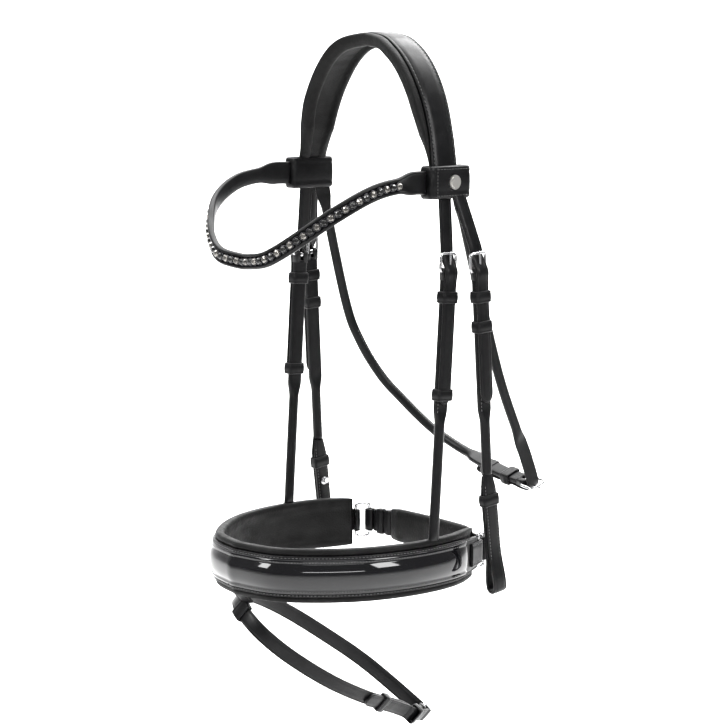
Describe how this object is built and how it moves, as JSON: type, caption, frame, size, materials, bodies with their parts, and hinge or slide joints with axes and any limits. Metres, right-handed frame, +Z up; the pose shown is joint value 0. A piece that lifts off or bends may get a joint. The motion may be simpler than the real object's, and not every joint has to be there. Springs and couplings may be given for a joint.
{
  "type": "snaffle bridle",
  "caption": "Padded black leather riding bridle headstall with crystal browband, patent crank noseband, flash strap, throatlash and bit loops for a snaffle bit.",
  "frame": {"origin": "underside of the crown at its top centre, where it rests on the poll", "axes": "+Z up, +X towards the wearing animal's left, -Y towards the front of its face"},
  "size_m": [0.2384, 0.2692, 0.6096],
  "materials": {
    "bridle_leather": "smooth black, satin",
    "soft_leather": "soft black, matt fine grain",
    "patent_leather": "black patent, high gloss",
    "polished_steel": "polished",
    "badge_metal": "satin disc, plain",
    "crystal": "faceted clear and dark stones"
  },
  "bodies": {
    "headpiece": {"crown_strap": "bridle_leather", "crown_padding": "soft_leather", "browband": "bridle_leather", "browband_loop_left": "bridle_leather", "browband_loop_right": "bridle_leather", "browband_crystals": "crystal", "browband_badge": "badge_metal"},
    "noseband": {"nose_billet_left": "bridle_leather", "nose_billet_right": "bridle_leather", "nose_hanger_left": "bridle_leather", "nose_hanger_right": "bridle_leather", "nose_buckle_left": "polished_steel", "nose_buckle_right": "polished_steel", "nose_keeper_left": "bridle_leather", "nose_keeper_right": "bridle_leather", "crank_ring_left": "polished_steel", "crank_ring_right": "polished_steel", "noseband_base": "bridle_leather", "noseband_padding": "soft_leather", "patent_overlay": "patent_leather", "ring_chapes": "bridle_leather", "chin_strap": "bridle_leather", "chin_pad": "soft_leather", "chin_keepers": "bridle_leather", "chin_buckle": "polished_steel"},
    "throatlash_assembly": {"throat_billet": "bridle_leather", "throatlash": "bridle_leather", "throat_buckle": "polished_steel", "throat_keeper": "bridle_leather"},
    "flash_assembly": {"flash_loop": "bridle_leather", "flash_strap": "bridle_leather", "flash_buckle": "polished_steel", "flash_keeper": "bridle_leather"},
    "cheekpiece_left": {"cheek_billet_left": "bridle_leather", "cheek_strap_left": "bridle_leather", "cheek_buckle_left": "polished_steel", "cheek_keeper_left": "bridle_leather", "bit_loop_left": "bridle_leather", "bit_keeper_left": "bridle_leather", "hook_stud_left": "polished_steel"},
    "cheekpiece_right": {"cheek_billet_right": "bridle_leather", "cheek_strap_right": "bridle_leather", "cheek_buckle_right": "polished_steel", "cheek_keeper_right": "bridle_leather", "bit_loop_right": "bridle_leather", "bit_keeper_right": "bridle_leather", "hook_stud_right": "polished_steel"},
    "nose_tongue_left_body": {"nose_tongue_left": "polished_steel"},
    "nose_tongue_right_body": {"nose_tongue_right": "polished_steel"},
    "nose_runner_left_body": {"nose_runner_left": "bridle_leather"},
    "nose_runner_right_body": {"nose_runner_right": "bridle_leather"},
    "chin_tongue_body": {"chin_tongue": "polished_steel"},
    "cheek_tongue_left_body": {"cheek_tongue_left": "polished_steel"},
    "cheek_tongue_right_body": {"cheek_tongue_right": "polished_steel"},
    "cheek_runner_left_body": {"cheek_runner_left": "bridle_leather"},
    "cheek_runner_right_body": {"cheek_runner_right": "bridle_leather"},
    "throat_tongue_body": {"throat_tongue": "polished_steel"},
    "throat_runner_body": {"throat_runner": "bridle_leather"},
    "flash_tongue_body": {"flash_tongue": "polished_steel"},
    "flash_runner_body": {"flash_runner": "bridle_leather"}
  },
  "joints": [
    {"name": "noseband_swing", "type": "hinge", "parent": "headpiece", "child": "noseband", "pos_m": [0, 0.002, -0.1295], "axis": [1, 0, 0], "range_deg": [-8, 8], "stiffness_Nm_per_rad": 1.5, "springref_deg": -4.81},
    {"name": "cheekpiece_left_swing", "type": "hinge", "parent": "headpiece", "child": "cheekpiece_left", "pos_m": [0.093, 0.008, -0.1295], "axis": [1, 0, 0], "range_deg": [-8, 8], "stiffness_Nm_per_rad": 0.2, "springref_deg": 1.46},
    {"name": "cheekpiece_right_swing", "type": "hinge", "parent": "headpiece", "child": "cheekpiece_right", "pos_m": [-0.093, 0.008, -0.1295], "axis": [1, 0, 0], "range_deg": [-8, 8], "stiffness_Nm_per_rad": 0.2, "springref_deg": 1.46},
    {"name": "throatlash_swing", "type": "hinge", "parent": "headpiece", "child": "throatlash_assembly", "pos_m": [0, 0.019, -0.1295], "axis": [1, 0, 0], "range_deg": [-8, 20], "stiffness_Nm_per_rad": 0.4, "springref_deg": 2.78},
    {"name": "flash_swing", "type": "hinge", "parent": "noseband", "child": "flash_assembly", "pos_m": [0, -0.1506, -0.4504], "axis": [1, 0, 0], "range_deg": [-20, 20], "stiffness_Nm_per_rad": 0.5, "springref_deg": 3.15},
    {"name": "nose_tongue_left_flip", "type": "hinge", "parent": "noseband", "child": "nose_tongue_left_body", "pos_m": [0.0976, -0.001, -0.1855], "axis": [0, 0.998, -0.0638], "range_deg": [0, 70]},
    {"name": "nose_tongue_right_flip", "type": "hinge", "parent": "noseband", "child": "nose_tongue_right_body", "pos_m": [-0.0976, -0.001, -0.1855], "axis": [0, -0.998, 0.0638], "range_deg": [0, 70]},
    {"name": "cheek_tongue_left_flip", "type": "hinge", "parent": "cheekpiece_left", "child": "cheek_tongue_left_body", "pos_m": [0.1111, 0.021, -0.1855], "axis": [0, 0.9984, 0.0569], "range_deg": [0, 70]},
    {"name": "cheek_tongue_right_flip", "type": "hinge", "parent": "cheekpiece_right", "child": "cheek_tongue_right_body", "pos_m": [-0.1111, 0.021, -0.1855], "axis": [0, -0.9984, -0.0569], "range_deg": [0, 70]},
    {"name": "chin_tongue_flip", "type": "hinge", "parent": "noseband", "child": "chin_tongue_body", "pos_m": [0.03366, 0.07157, -0.431], "axis": [0, 0, -1], "range_deg": [0, 70]},
    {"name": "throat_tongue_flip", "type": "hinge", "parent": "throatlash_assembly", "child": "throat_tongue_body", "pos_m": [0.0836, 0.106, -0.3765], "axis": [0.0217, 0.941, 0.3376], "range_deg": [0, 70]},
    {"name": "flash_tongue_flip", "type": "hinge", "parent": "flash_assembly", "child": "flash_tongue_body", "pos_m": [0.01211, 0.04455, -0.588], "axis": [-0.4449, -0.4654, -0.7652], "range_deg": [0, 70]},
    {"name": "nose_runner_left_slide", "type": "slide", "parent": "noseband", "child": "nose_runner_left_body", "axis": [0, 0.0638, 0.998], "range_m": [-0.007, 0.06]},
    {"name": "nose_runner_right_slide", "type": "slide", "parent": "noseband", "child": "nose_runner_right_body", "axis": [0, 0.0638, 0.998], "range_m": [-0.007, 0.06]},
    {"name": "cheek_runner_left_slide", "type": "slide", "parent": "cheekpiece_left", "child": "cheek_runner_left_body", "axis": [-0.0114, -0.0569, 0.9983], "range_m": [-0.05, 0.012]},
    {"name": "cheek_runner_right_slide", "type": "slide", "parent": "cheekpiece_right", "child": "cheek_runner_right_body", "axis": [0.0114, -0.0569, 0.9983], "range_m": [-0.05, 0.012]},
    {"name": "throat_runner_slide", "type": "slide", "parent": "throatlash_assembly", "child": "throat_runner_body", "axis": [0.9927, 0.0199, -0.1191], "range_m": [-0.004, 0.012]},
    {"name": "flash_runner_slide", "type": "slide", "parent": "flash_assembly", "child": "flash_runner_body", "axis": [-0.2648, 0.8845, -0.384], "range_m": [-0.004, 0.004]}
  ]
}
